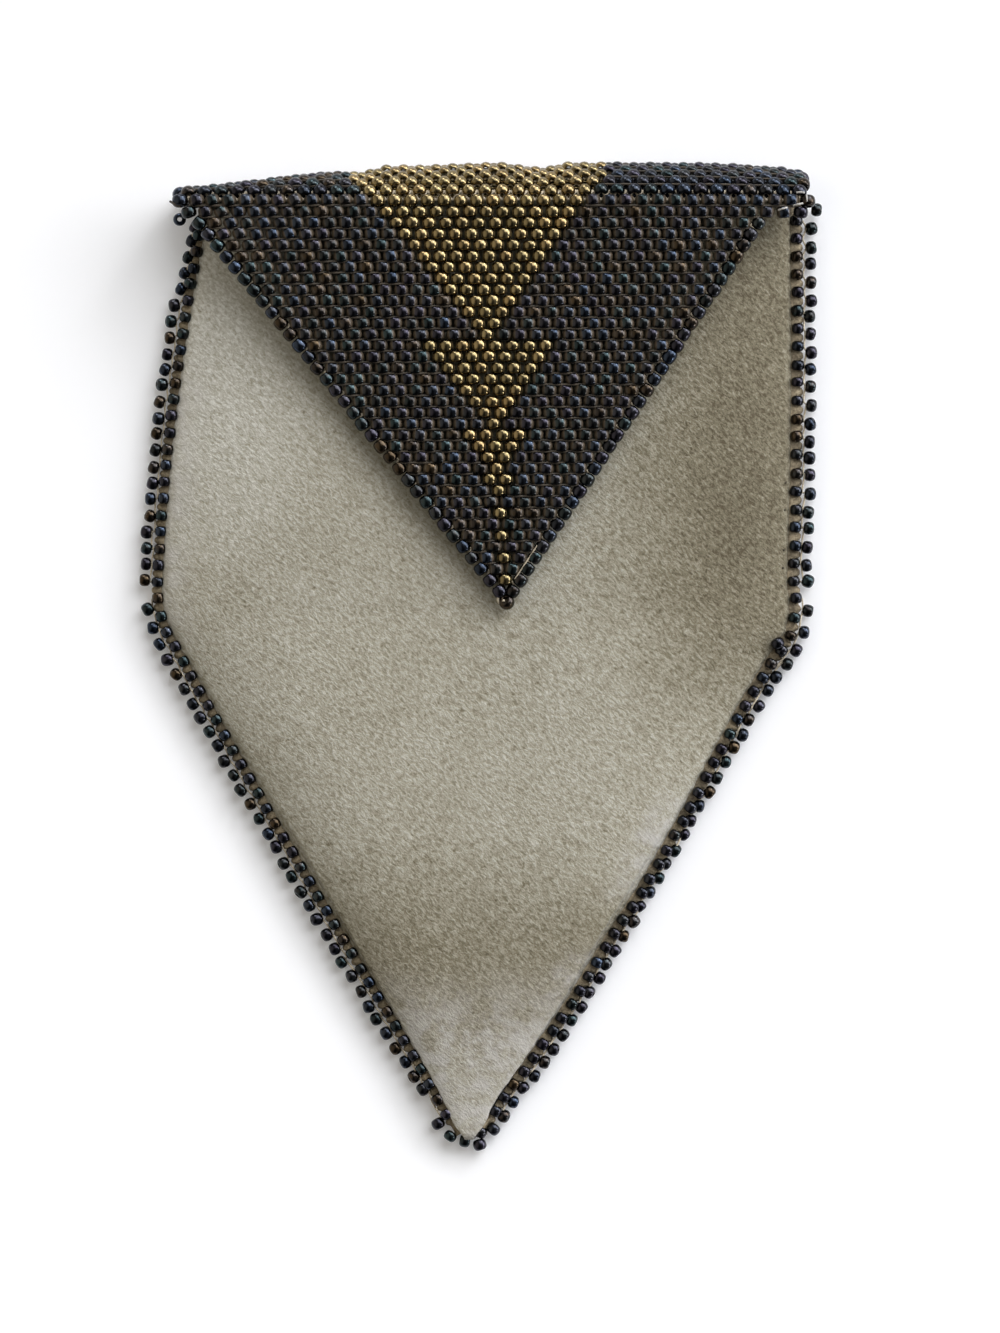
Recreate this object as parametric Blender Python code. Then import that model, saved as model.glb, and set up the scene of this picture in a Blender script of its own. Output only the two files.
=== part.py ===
"""Beaded medicine bag: a suede pouch, a brick-stitch bead flap folded over its mouth, and a bead edging.

The bag lies on its back. +Y runs towards the mouth, +X to the right as its front is seen, and +Z up.
The origin is on the flat back. All sizes are in metres.
"""

import math

import bmesh
import bpy
from mathutils import Matrix, Vector

MM = 0.001

# Suede pouch: outline of the panels, seen from the front
MOUTH_WIDTH = 73.7 * MM
MOUTH_CENTRE_X = 2.35 * MM
MOUTH_Y = 61.3 * MM
SHOULDER_WIDTH = 80.3 * MM
SHOULDER_CENTRE_X = -1.25 * MM
SHOULDER_Y = 5.1 * MM
TIP_WIDTH = 2.2 * MM
TIP_X = -1.4 * MM
TIP_Y = -61.0 * MM
LEFT_SIDE_BOW = 1.1 * MM
RIGHT_SIDE_BOW = -0.85 * MM
TAPER_BOW = 0.45 * MM
CORNER_ROUNDING = 3.2 * MM

# Suede pouch: section
SUEDE_THICKNESS = 1.0 * MM
POUCH_ROOM = 4.6 * MM
MOUTH_SETBACK = 4.6 * MM
CROWN_POWER = 4

# Seed beads
BEAD_DIAMETER = 1.9 * MM
BEAD_PITCH = 2.1 * MM
ROW_PITCH = 1.417 * MM
EDGE_BEAD_DIAMETER = 1.5 * MM
EDGE_BEAD_LENGTH = 1.2 * MM
SEAM_GAP = 0.3 * MM

# Bead flap
FLAP_ROWS = 37
STEP_ROW = 36
STEP_BEADS = 2
ROW_LEAN = -0.104 * MM
FLAP_TIP_X = 2.9 * MM
FOLD_STEEPEST = math.radians(84)
FOLD_EASING = 3.0
ROOT_ROW_LOWEST = 0.8 * MM
VALLEY_SHARE = 0.15
BEAD_END_ROUNDING = 0.15 * MM

# Gold pattern, by row counted from the flap's tip
CENTRE_LINE_FIRST_ROW = 3
LOWER_ARROW_ROW = 12
LOWER_ARROW_POINT_BEADS = 2
MIDDLE_ARROW_ROW = 16
TRIANGLE_ROW = 24
TRIANGLE_BEADS = 15

# Bead edging
LEFT_SIDE_EDGE_PITCH = 2.12 * MM
RIGHT_SIDE_EDGE_PITCH = 2.3 * MM
TAPER_EDGE_PITCH = 2.13 * MM
TIP_EDGE_BEADS = 2
TIP_EDGE_DROP = 1.9 * MM
EDGE_BEAD_SIDES = 6
NECK_SHARE = 0.5

# Steps in the curves
SIDE_STEPS = 8
CORNER_STEPS = 4
TAPER_STEPS = 12
PANEL_COLUMNS = 16

# Worked out from the sizes above
SEAM_HEIGHT = SUEDE_THICKNESS + SEAM_GAP / 2
FRONT_EDGE_Z = 2 * SUEDE_THICKNESS + SEAM_GAP
FRONT_CROWN_Z = FRONT_EDGE_Z + POUCH_ROOM
FLAP_Z = FRONT_CROWN_Z + SEAM_GAP + BEAD_DIAMETER / 2
ROOT_ROW_Y = MOUTH_Y + SEAM_GAP + BEAD_DIAMETER / 2
FRONT_MOUTH_Y = MOUTH_Y - MOUTH_SETBACK
INNER_EDGE_OFFSET = SEAM_GAP + EDGE_BEAD_DIAMETER / 2
WAIST_SHARE = (1 + NECK_SHARE) / 2
OUTER_EDGE_OFFSET = INNER_EDGE_OFFSET + (EDGE_BEAD_DIAMETER + EDGE_BEAD_LENGTH) / 2 * WAIST_SHARE + SEAM_GAP

SUEDE = ((0.40, 0.36, 0.29), 0.95, 0.0)
SUEDE_BACK = ((0.37, 0.33, 0.26), 0.95, 0.0)
DARK_BEAD = ((0.02, 0.02, 0.035), 0.18, 0.0)
GOLD_BEAD = ((0.60, 0.48, 0.26), 0.25, 1.0)


def clear_scene():
    for obj in list(bpy.data.objects):
        bpy.data.objects.remove(obj, do_unlink=True)


def make_material(name, finish):
    colour, roughness, metallic = finish
    material = bpy.data.materials.new(name)
    material.use_nodes = True
    shader = material.node_tree.nodes["Principled BSDF"]
    shader.inputs["Base Color"].default_value = (*colour, 1.0)
    shader.inputs["Roughness"].default_value = roughness
    shader.inputs["Metallic"].default_value = metallic
    material.diffuse_color = (*colour, 1.0)
    return material


def make_object(name, bm, finishes, parent=None):
    """Turns bm, drawn in world coordinates, into an object whose origin is at its parent's."""
    origin = parent.matrix_world.translation if parent else Vector((0, 0, 0))
    bmesh.ops.recalc_face_normals(bm, faces=bm.faces)
    if bm.calc_volume(signed=True) < 0:
        bmesh.ops.reverse_faces(bm, faces=bm.faces)
    bmesh.ops.translate(bm, verts=bm.verts, vec=-origin)
    mesh = bpy.data.meshes.new(name)
    bm.to_mesh(mesh)
    bm.free()
    obj = bpy.data.objects.new(name, mesh)
    obj.parent = parent
    bpy.context.collection.objects.link(obj)
    for index, finish in enumerate(finishes):
        mesh.materials.append(make_material(f"{name}_finish_{index}", finish))
    return obj


def make_axis(name, y, z, parent=None):
    """An empty on a hinge line, which carries the rows that turn about it."""
    axis = bpy.data.objects.new(name, None)
    bpy.context.collection.objects.link(axis)
    axis.parent = parent
    carrier = parent.matrix_world.translation if parent else Vector((0, 0, 0))
    axis.location = Vector((0, y, z)) - carrier
    bpy.context.view_layer.update()
    return axis


def bezier(start, control, end, steps):
    """Points of a quadratic curve, without its last one."""
    points = []
    for step in range(steps):
        t = step / steps
        points.append(start * (1 - t) ** 2 + control * 2 * t * (1 - t) + end * t**2)
    return points


def side_points(side):
    """Mouth corner, shoulder corner and tip corner of one side: -1 is left and 1 is right."""
    mouth = Vector((MOUTH_CENTRE_X + side * MOUTH_WIDTH / 2, MOUTH_Y))
    shoulder = Vector((SHOULDER_CENTRE_X + side * SHOULDER_WIDTH / 2, SHOULDER_Y))
    tip = Vector((TIP_X + side * TIP_WIDTH / 2, TIP_Y))
    return mouth, shoulder, tip


def straight_side(side):
    """The suede's edge from the mouth down to where the shoulder starts to turn."""
    mouth, shoulder, _ = side_points(side)
    end = shoulder + Vector((0, CORNER_ROUNDING))
    bow = LEFT_SIDE_BOW if side < 0 else RIGHT_SIDE_BOW
    control = Vector((shoulder.x - side * bow, (mouth.y + shoulder.y) / 2))
    return bezier(mouth, control, end, SIDE_STEPS) + [end]


def tapered_side(side):
    """The suede's edge from the shoulder's turn to the tip."""
    _, shoulder, tip = side_points(side)
    start = shoulder + Vector((0, CORNER_ROUNDING))
    along = (tip - shoulder).normalized()
    end = shoulder + along * CORNER_ROUNDING
    control = (end + tip) / 2 + Vector((-along.y, along.x)) * side * 2 * TAPER_BOW
    return bezier(start, shoulder, end, CORNER_STEPS) + bezier(end, control, tip, TAPER_STEPS) + [tip]


def edge_x(side, y):
    """Where the suede's edge lies at height y of the outline."""
    path = straight_side(side) + tapered_side(side)[1:]
    for upper, lower in zip(path, path[1:]):
        if lower.y <= y <= upper.y:
            return upper.lerp(lower, (upper.y - y) / (upper.y - lower.y)).x
    return path[-1].x


def front_height(across, y):
    """Height of the front panel's outer face: across runs from -1 to 1 between its edges."""
    taper = min(y - SHOULDER_Y, 0) / (SHOULDER_Y - TIP_Y)
    return FRONT_EDGE_Z + POUCH_ROOM * (1 - taper**2) * (1 - abs(across) ** CROWN_POWER)


def add_thickness(obj, thickness):
    solidify = obj.modifiers.new("thickness", "SOLIDIFY")
    solidify.thickness = thickness
    solidify.offset = -1
    solidify.use_rim = True


def make_front_panel():
    """A lofted sheet: cross-sections from the mouth to the tip, crowned where the pouch has room inside."""
    bm = bmesh.new()
    path = straight_side(-1) + tapered_side(-1)[1:]
    heights = [FRONT_MOUTH_Y] + [point.y for point in path if point.y < FRONT_MOUTH_Y - SEAM_GAP]
    rows = []
    for y in heights:
        left, right = edge_x(-1, y), edge_x(1, y)
        row = []
        for column in range(PANEL_COLUMNS + 1):
            across = math.sin((2 * column / PANEL_COLUMNS - 1) * math.pi / 2)
            x = (left + right) / 2 + across * (right - left) / 2
            row.append(bm.verts.new((x, y, front_height(across, y))))
        rows.append(row)
    for upper, lower in zip(rows, rows[1:]):
        for column in range(PANEL_COLUMNS):
            bm.faces.new((upper[column], lower[column], lower[column + 1], upper[column + 1]))
    panel = make_object("front_panel", bm, [SUEDE])
    face_up(panel)
    add_thickness(panel, SUEDE_THICKNESS)
    panel.data.shade_smooth()


def make_back_panel():
    """The flat panel that the bag lies on, cut to the whole outline."""
    bm = bmesh.new()
    left = straight_side(-1) + tapered_side(-1)[1:]
    right = straight_side(1) + tapered_side(1)[1:]
    outline = left + right[::-1]
    bm.faces.new([bm.verts.new((point.x, point.y, SUEDE_THICKNESS)) for point in outline])
    panel = make_object("back_panel", bm, [SUEDE_BACK])
    face_up(panel)
    add_thickness(panel, SUEDE_THICKNESS)


def face_up(obj):
    """Turns an open sheet's faces to look up, so that its thickness goes down from them."""
    if obj.data.polygons[0].normal.z < 0:
        obj.data.flip_normals()


def gold_beads(row):
    """How many gold beads stand in the middle of a row."""
    if row > TRIANGLE_ROW:
        return min(row - TRIANGLE_ROW, TRIANGLE_BEADS + (row + TRIANGLE_BEADS) % 2)
    if row > MIDDLE_ARROW_ROW:
        return row - MIDDLE_ARROW_ROW
    if row > LOWER_ARROW_ROW:
        return row - LOWER_ARROW_ROW
    if row == LOWER_ARROW_ROW:
        return LOWER_ARROW_POINT_BEADS
    return row % 2 if row >= CENTRE_LINE_FIRST_ROW else 0


def row_beads(row):
    """(first bead's x, count) of a whole row: one bead more each row, then as wide as the mouth."""
    growing = min(row, FLAP_ROWS - (row - FLAP_ROWS) % 2)
    first_x = row_centre(row) - (growing - 1) * BEAD_PITCH / 2
    return first_x, growing + (STEP_BEADS if row >= STEP_ROW else 0)


def row_centre(row):
    """The flap leans a little to the left as it goes up, until it is as wide as the mouth."""
    return FLAP_TIP_X + ROW_LEAN * (min(row, FLAP_ROWS) - 1)


def fold_slope(step):
    """How steeply the beadwork goes down between two rows, step rows past the flap's last one."""
    return FOLD_STEEPEST * (1 - math.exp(-step / FOLD_EASING)) if step > 0 else 0.0


def fold_steps():
    """How many rows lie on the fold, with the root row as the last of them."""
    drop, steps = 0.0, 0
    while FLAP_Z - drop - ROW_PITCH * math.sin(fold_slope(steps + 1)) > ROOT_ROW_LOWEST:
        steps += 1
        drop += ROW_PITCH * math.sin(fold_slope(steps))
    return steps


def fold_offset(step):
    """(y, z) from the flap's last row to the row that is step rows past it."""
    slopes = [fold_slope(index) for index in range(1, step + 1)]
    return sum(map(math.cos, slopes)) * ROW_PITCH, -sum(map(math.sin, slopes)) * ROW_PITCH


def flap_last_row_y():
    return ROOT_ROW_Y - fold_offset(fold_steps())[0]


def row_place(row):
    """The matrix that carries a row drawn at the origin, outer side up, to its place."""
    step = row - FLAP_ROWS
    y, z = (step * ROW_PITCH, 0) if step < 0 else fold_offset(step)
    lean = (fold_slope(step) + fold_slope(step + 1)) / 2
    return Matrix.Translation((0, flap_last_row_y() + y, FLAP_Z + z)) @ Matrix.Rotation(-lean, 4, "X")


def hinge_line(step):
    """(y, z) on the outer face, halfway between a row of the fold and the one before it."""
    near_y, near_z = fold_offset(step - 1)
    far_y, far_z = fold_offset(step)
    outward = BEAD_DIAMETER / 2
    y = flap_last_row_y() + (near_y + far_y) / 2 + outward * math.sin(fold_slope(step))
    z = FLAP_Z + (near_z + far_z) / 2 + outward * math.cos(fold_slope(step))
    return y, z


def draw_bead_row(bm, row):
    """One row as a bar, its bead holes along the flap, with a ridge over each bead's outer side."""
    first_x, count = row_beads(row)
    radius = BEAD_DIAMETER / 2
    valley = radius * VALLEY_SHARE
    outline = [(first_x - radius, -radius), (first_x + (count - 1) * BEAD_PITCH + radius, -radius)]
    outline.append((outline[1][0], valley))
    for bead in reversed(range(count)):
        centre = first_x + bead * BEAD_PITCH
        outline.append((centre, radius))
        outline.append((centre - BEAD_PITCH / 2 if bead else centre - radius, valley))
    length = ROW_PITCH - SEAM_GAP
    face = bm.faces.new([bm.verts.new((x, -length / 2, z)) for x, z in outline])
    grown = bmesh.ops.extrude_face_region(bm, geom=[face])["geom"]
    moved = [item for item in grown if isinstance(item, bmesh.types.BMVert)]
    bmesh.ops.translate(bm, verts=moved, vec=(0, length, 0))
    for vert in bm.verts:
        if abs(vert.co.z) > valley:
            vert.co.y -= math.copysign(BEAD_END_ROUNDING, vert.co.y)


def colour_gold_beads(bm, row):
    """The outer faces of a row's middle beads take the second finish."""
    reach = gold_beads(row) * BEAD_PITCH / 2
    for face in bm.faces:
        centre = face.calc_center_median()
        if centre.z > 0 and abs(centre.x - row_centre(row)) < reach:
            face.material_index = 1


def make_bead_row(name, row, parent):
    bm = bmesh.new()
    draw_bead_row(bm, row)
    colour_gold_beads(bm, row)
    bmesh.ops.transform(bm, matrix=row_place(row), verts=bm.verts)
    finishes = [DARK_BEAD, GOLD_BEAD] if gold_beads(row) else [DARK_BEAD]
    make_object(name, bm, finishes, parent)


def make_flap():
    """Rows up to the fold turn with the flap, the next ones with the fold, and the root row stays."""
    last = FLAP_ROWS + fold_steps()
    fold_axis = make_axis("fold_axis", *hinge_line(fold_steps()))
    flap_axis = make_axis("flap_axis", *hinge_line(1), parent=fold_axis)
    for row in range(1, FLAP_ROWS + 1):
        make_bead_row(f"flap_row_{row:02d}", row, flap_axis)
    for row in range(FLAP_ROWS + 1, last):
        make_bead_row(f"fold_row_{row:02d}", row, fold_axis)
    make_bead_row("root_row", last, None)


def walk(path, pitch, shift):
    """(point, direction) at each end of equal steps of about pitch along a path, and halfway along them."""
    lengths = [(b - a).length for a, b in zip(path, path[1:])]
    count = max(1, round((sum(lengths) - shift) / pitch))
    places = []
    for half_step in range(2 * count + 1):
        left_over = shift + half_step / 2 * (sum(lengths) - shift) / count
        for start, end, length in zip(path, path[1:], lengths):
            if left_over <= length or end is path[-1]:
                break
            left_over -= length
        direction = (end - start).normalized()
        places.append((start + direction * min(left_over, length), direction))
    return places


def draw_strand(bm, places, side, offset, half_width):
    """Beads threaded in a line: a tube that swells at each bead and narrows to its thread between two."""
    rings = []
    for index, (point, direction) in enumerate(places):
        outward = Vector((-direction.y, direction.x)) * side
        swell = 1 if index % 2 else NECK_SHARE
        centre = point + outward * offset
        ring = []
        for corner in range(EDGE_BEAD_SIDES):
            angle = corner / EDGE_BEAD_SIDES * 2 * math.pi
            across = outward * math.cos(angle) * half_width * swell
            up = math.sin(angle) * EDGE_BEAD_DIAMETER / 2 * swell
            ring.append(bm.verts.new((centre.x + across.x, centre.y + across.y, SEAM_HEIGHT + up)))
        rings.append(ring)
    for near, far in zip(rings, rings[1:]):
        for corner in range(EDGE_BEAD_SIDES):
            after = (corner + 1) % EDGE_BEAD_SIDES
            bm.faces.new((near[corner], near[after], far[after], far[corner]))
    bm.faces.new(rings[0])
    bm.faces.new(rings[-1])


def make_edging(name, path, side, pitch, outer):
    """Inner beads hug the suede's edge, and outer beads stand on them, half a step further on."""
    bm = bmesh.new()
    if outer:
        draw_strand(bm, walk(path, pitch, pitch / 2), side, OUTER_EDGE_OFFSET, EDGE_BEAD_LENGTH / 2)
    else:
        draw_strand(bm, walk(path, pitch, 0), side, INNER_EDGE_OFFSET, EDGE_BEAD_DIAMETER / 2)
    make_object(name, bm, [DARK_BEAD])


def make_tip_edging():
    """The beads that close the edging under the tip, between the ends of its two sides."""
    bm = bmesh.new()
    reach = Vector((TIP_EDGE_BEADS * TAPER_EDGE_PITCH / 2, 0))
    middle = Vector((TIP_X, TIP_Y - TIP_EDGE_DROP))
    draw_strand(bm, walk([middle - reach, middle + reach], TAPER_EDGE_PITCH, 0), 1, 0, EDGE_BEAD_DIAMETER / 2)
    make_object("edging_tip", bm, [DARK_BEAD])


def make_all_edging():
    for side, word in ((-1, "left"), (1, "right")):
        straight = [Vector((edge_x(side, FRONT_MOUTH_Y), FRONT_MOUTH_Y))]
        straight += [point for point in straight_side(side) if point.y < FRONT_MOUTH_Y - SEAM_GAP]
        straight[-1] = straight[-1] + Vector((0, SEAM_GAP))
        pitch = LEFT_SIDE_EDGE_PITCH if side < 0 else RIGHT_SIDE_EDGE_PITCH
        for outer, row in ((False, "inner"), (True, "outer")):
            make_edging(f"edging_{word}_side_{row}", straight, side, pitch, outer)
            make_edging(f"edging_{word}_taper_{row}", tapered_side(side), side, TAPER_EDGE_PITCH, outer)
    make_tip_edging()


def main():
    clear_scene()
    make_back_panel()
    make_front_panel()
    make_flap()
    make_all_edging()


main()
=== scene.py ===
"""Looks of the beaded medicine bag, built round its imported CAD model. Sizes are in metres."""

import math

import bpy
import numpy as np
from mathutils import Euler, Matrix, Vector


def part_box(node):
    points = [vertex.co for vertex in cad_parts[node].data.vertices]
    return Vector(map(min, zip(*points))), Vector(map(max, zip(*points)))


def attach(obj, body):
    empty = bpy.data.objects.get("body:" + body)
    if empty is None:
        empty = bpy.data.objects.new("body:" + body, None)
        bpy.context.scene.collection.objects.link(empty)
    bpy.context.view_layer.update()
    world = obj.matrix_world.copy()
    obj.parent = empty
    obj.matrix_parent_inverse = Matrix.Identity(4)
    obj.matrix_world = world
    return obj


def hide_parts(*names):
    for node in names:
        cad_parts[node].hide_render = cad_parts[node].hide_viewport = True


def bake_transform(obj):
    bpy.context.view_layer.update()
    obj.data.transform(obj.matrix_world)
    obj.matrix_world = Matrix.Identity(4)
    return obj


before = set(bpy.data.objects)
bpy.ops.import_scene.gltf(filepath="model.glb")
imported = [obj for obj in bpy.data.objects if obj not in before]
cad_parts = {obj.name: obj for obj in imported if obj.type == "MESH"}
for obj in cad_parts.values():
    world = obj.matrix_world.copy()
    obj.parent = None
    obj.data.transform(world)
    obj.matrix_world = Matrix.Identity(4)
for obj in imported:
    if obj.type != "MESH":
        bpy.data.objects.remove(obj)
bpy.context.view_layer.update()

MM = 0.001
random = np.random.default_rng(11)

# The outline of the suede, as in the CAD source. Sides are -1 for left and 1 for right
MOUTH_WIDTH = 73.7 * MM
MOUTH_CENTRE_X = 2.35 * MM
MOUTH_Y = 61.3 * MM
SHOULDER_WIDTH = 80.3 * MM
SHOULDER_CENTRE_X = -1.25 * MM
SHOULDER_Y = 5.1 * MM
TIP_WIDTH = 2.2 * MM
TIP_X = -1.4 * MM
TIP_Y = -61.0 * MM
SIDE_BOW = {-1: 1.1 * MM, 1: -0.85 * MM}
TAPER_BOW = 0.45 * MM
CORNER_ROUNDING = 3.2 * MM
FRONT_MOUTH_Y = 56.7 * MM
SUEDE_THICKNESS = 1.0 * MM
FRONT_EDGE_Z = 2.3 * MM
SEAM_Z = 1.15 * MM

# How far the front's edge stands out beyond that outline, from the tip up, in mm
FRONT_SWELL_Y = [-61, -57, -52, -44, -36.5, -29, -21, -13.5, -6, -1, 3, 6, 9]
FRONT_SWELL = {
    -1: [0.4, 0.3, 0.0, 0.0, 0.0, 0.0, 0.0, 0.0, 0.0, 0.0, 0.0, 0.0, 0.0],
    1: [-0.6, -0.7, -0.1, 0.5, 0.5, 0.9, 0.8, 0.5, 0.3, 0.5, 1.0, 0.5, 0.0],
}
# The share of the width that moves with it
SWELL_REACH = 0.4
FRONT_RISE = 4.5 * MM
WAVE_HEIGHT = 0.055 * MM
SCALLOP_DEPTH = 0.07 * MM
SCALLOP_PITCH = 2.2 * MM
# (distance inside the edge, how far the surface has turned down there), in mm
EDGE_TURN = [(0.0, 1.00), (0.10, 0.78), (0.30, 0.48), (0.60, 0.20), (1.0, 0.05)]
MOUTH_TURN = 0.3 * MM
MOUTH_TURN_WIDTH = 0.12 * MM
# The point is drawn together, towards a place left of its middle, and down
PINCH = 0.5
PINCH_LENGTH = 1.4 * MM
PINCH_X = -0.5 * MM
TIP_DRAW = 0.9 * MM
TIP_DRAW_LENGTH = 5 * MM
MOUTH_SHIFT_LENGTH = 4 * MM
LEAST_TOP_Z = 0.15 * MM
LEAST_THICKNESS = 0.1 * MM
ACROSS_STEPS = 72
# (share of the reach, or mm if inside the edge; height in mm) round the section of the raw edges
SEAM_PROFILE = [
    (-0.4, 1.75), (0.0, 1.72), (0.55, 1.65), (0.9, 1.40), (1.0, 1.1), (0.8, 0.6), (0.4, 0.25), (-0.4, 0.2),
]
SEAM_REACH = 0.35 * MM
# What the reach gains between two beads, and how much lower the edge lies under one, in mm
SEAM_BULGE = 0.40 * MM
SEAM_DROP = 0.30

# The bead rows, as in the CAD source
ROW_PITCH = 1.417 * MM
BEAD_PITCH = 2.1 * MM
CAD_BEAD_RADIUS = 0.95 * MM
FLAP_ROWS = 37
STEP_ROW = 36
FLAP_Z = 8.15 * MM
FLAP_LAST_Y = 57.712 * MM
FOLD_ROWS = 5
ROOT_ROW = FLAP_ROWS + FOLD_ROWS + 1
ROOT_Y = 62.0 * MM
ROOT_Z = 1.60 * MM
FOLD_STEEPEST = math.radians(84)
FOLD_EASING = 3.0
TABLE_CLEARANCE = 1.0 * MM
# The middle of the gold pattern in row 1, and how far it moves to the left with each row, in mm
PATTERN_X = 2.9
PATTERN_DRIFT = 0.104

# Beads as they look
DARK_RADIUS = 0.99 * MM
GOLD_RADIUS = 0.93 * MM
BEAD_HALF_LENGTH = 0.72 * MM
# How much of the flanks' painted reflection shows, on the fold and at the ends of a row
FOLD_FLANKS = 0.6
END_FLANKS = 0.4
# The beads at the flap's slanted edges. The lean is in radians
EDGE_RADIUS = 0.90 * MM
EDGE_HALF_LENGTH = 0.80 * MM
EDGE_INSET = 0.2 * MM
EDGE_LEAN = 0.60
# Radius, half length and share of the flanks' painted reflection
INNER_EDGE_BEAD = (0.80 * MM, 0.66 * MM, END_FLANKS)
OUTER_EDGE_BEAD = (0.84 * MM, 0.68 * MM, END_FLANKS)
# How much beads differ: thickness and length as shares, place in mm, turn in radians
THICKNESS_SPREAD = 0.025
LENGTH_SPREAD = 0.04
PLACE_SPREAD = 0.03
TURN_SPREAD = 0.07
BEAD_SIDES = 16
# (along the hole, out from it), from the middle of a bead to the mouth of its hole
ROUND_PROFILE = [
    (0.32, 0.98), (0.60, 0.915), (0.80, 0.81), (0.94, 0.66), (1.00, 0.52), (0.94, 0.40), (0.60, 0.36),
]
FULL_PROFILE = [
    (0.34, 0.982), (0.63, 0.92), (0.83, 0.815), (0.955, 0.67), (1.00, 0.53), (0.94, 0.40), (0.60, 0.36),
]

# How the beadwork lies: the corners sink a little, and so does the tip
SIDE_DROP = 1.1 * MM
TIP_DROP = 1.5 * MM
FLAP_HALF_WIDTH = 39 * MM
FLAP_LENGTH = 51 * MM
# How far the fold stands back from its straight line, along the mouth, in mm
FOLD_WAVE_X = [-40, -29, -20, -15.4, -12.5, -8, 1.8, 4.9, 7.7, 10.6, 29, 36, 42]
FOLD_WAVE_Y = [-0.9, -0.9, -0.8, -1.1, -0.3, -0.4, 0.0, -0.4, -0.7, 0.0, -0.1, -0.5, -0.5]
# How far in front of the flap's last row the fold may reach, along the mouth, in mm
FOLD_REACH_X = [-40, -37.6, -31.9, -28.4, -19.8, -10, 36, 40, 41.5]
FOLD_REACH = [1.2, 1.4, 2.2, 2.9, 5.0, 9.0, 9.0, 5.0, 3.2]
# Beads of the fold beyond this place are drawn in
FOLD_CORNER_X = 40.2 * MM
FOLD_CORNER_INSET = 0.6 * MM
# The root row's first and last bead, and where it sinks towards the left
ROOT_FIRST_X = -23 * MM
ROOT_LAST_X = 39.0 * MM
ROOT_SINK_X = -8 * MM
ROOT_SINK_WIDTH = 14 * MM
ROOT_SINK = 0.9 * MM
# The turn of the flap's rows about Z at its upper left, in radians
LEFT_TURN = 0.30

# The edging: how far out of the suede's edge its two rows lie, and their beads' pitch
INNER_OFFSET = {-1: 0.34 * MM, 1: 0.66 * MM}
OUTER_OFFSET = {-1: 1.96 * MM, 1: 2.36 * MM}
INNER_Z = 1.75 * MM
SIDE_EDGE_PITCH = {-1: 2.12 * MM, 1: 2.3 * MM}
TAPER_EDGE_PITCH = 2.13 * MM
# Where its rows end above the tip's beads, by side and whether it is the outer row
TAPER_ENDS_Y = {
    (-1, False): -59.0 * MM, (-1, True): -55.2 * MM, (1, False): -59.2 * MM, (1, True): -59.6 * MM,
}
# The two rows are piled up and drawn in at the left corner of the mouth, from here up
PILE_Y = 44 * MM
PILE_LENGTH = 5 * MM
PILE_HEIGHT = 0.35 * MM
PILE_INSET = 0.75 * MM
TIP_INSET = {-1: 0.55 * MM, 1: 0.95 * MM}
# Chance in its two rows: outwards and along in mm, turn and tilt in radians, height from and to in mm
EDGING_CHANCE = {False: (0.08, 0.10, 0.16, 0.15, -0.10, 0.10), True: (0.16, 0.16, 0.35, 0.30, -0.10, 0.20)}
# Where the thread runs from a bead's middle, outwards and up
EDGING_KNOT = {False: (0.80 * MM, -0.25 * MM), True: (-0.66 * MM, 0.15 * MM)}
# Beads that stand apart: x, y and z in mm, turn about Z and lean of the hole in radians
STRAY_BEADS = {
    "edging_left_side_outer": [(-38.85, 55.6, 2.6, 0.0, 1.5)],
    "edging_right_side_outer": [(42.5, 56.9, 1.4, 1.5, 0.0)],
    "edging_right_side_inner": [(37.5, 1.5, 2.85, 0.5, 0.1)],
}
# Beads at the tip: x and y in mm, and turn about Z in radians
TIP_BEADS = [
    (-5.85, -59.9, 0.5), (-4.3, -61.5, -0.6), (-2.45, -62.1, 1.4), (-0.45, -61.0, -0.4), (-0.55, -62.6, 0.3),
    (1.2, -60.6, -0.7),
]

# Radii of threads
EDGING_THREAD = 0.12 * MM
BRIDGE_THREAD = 0.10 * MM
SIDE_THREAD = 0.09 * MM
TIP_THREAD = 0.15 * MM
CORNER_THREAD = 0.12 * MM
LOOSE_THREAD = 0.16 * MM
ROOT_THREAD = 0.15 * MM
HINGE_THREAD = 0.18 * MM
FOLD_THREAD = 0.14 * MM
VALLEY_THREAD = 0.15 * MM
# Its height over the beads' middles, at a bead and between two
VALLEY_LIFT = (0.40 * MM, 0.46 * MM)
# Points of single threads, in mm. The loop's are from the centre of the tip's bead
TIP_LOOP = [(-0.9, 0.9, 0.5), (-1.15, 0.35, 0.3), (-0.85, -0.15, 0.2), (-0.35, 0.25, 0.7)]
CORNER_STITCHES = [
    [(39.7, 58.7, 8.0), (40.2, 58.75, 8.15), (40.7, 58.7, 7.9)],
    [(41.0, 58.4, 7.4), (41.02, 57.9, 7.85), (41.0, 57.4, 7.5)],
    [(39.3, 57.05, 8.0), (39.9, 57.2, 8.45), (40.5, 57.35, 8.1)],
    [(37.4, 56.45, 8.2), (38.0, 56.65, 8.6), (38.5, 56.8, 8.3)],
]
LOOSE_END = [(-38.6, 57.0, 7.6), (-39.2, 57.2, 7.7), (-39.6, 57.45, 7.6), (-39.9, 57.65, 7.5)]
# In mm, at the right
STITCH_HOLES = [
    (38.1, 15.6), (38.3, 13.4), (38.2, 11.1), (37.7, 9.5), (38.0, 8.8), (38.1, 6.8), (38.4, 18.5),
    (38.5, 22.0),
]

CAMERA_HEIGHT = 1.0
# The photograph's 1333 pixels of 0.128 mm
VIEW_LENGTH = 1333 * 0.128 * MM
VIEW_CENTRE = (2.05 * MM, -1.47 * MM)

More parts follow.
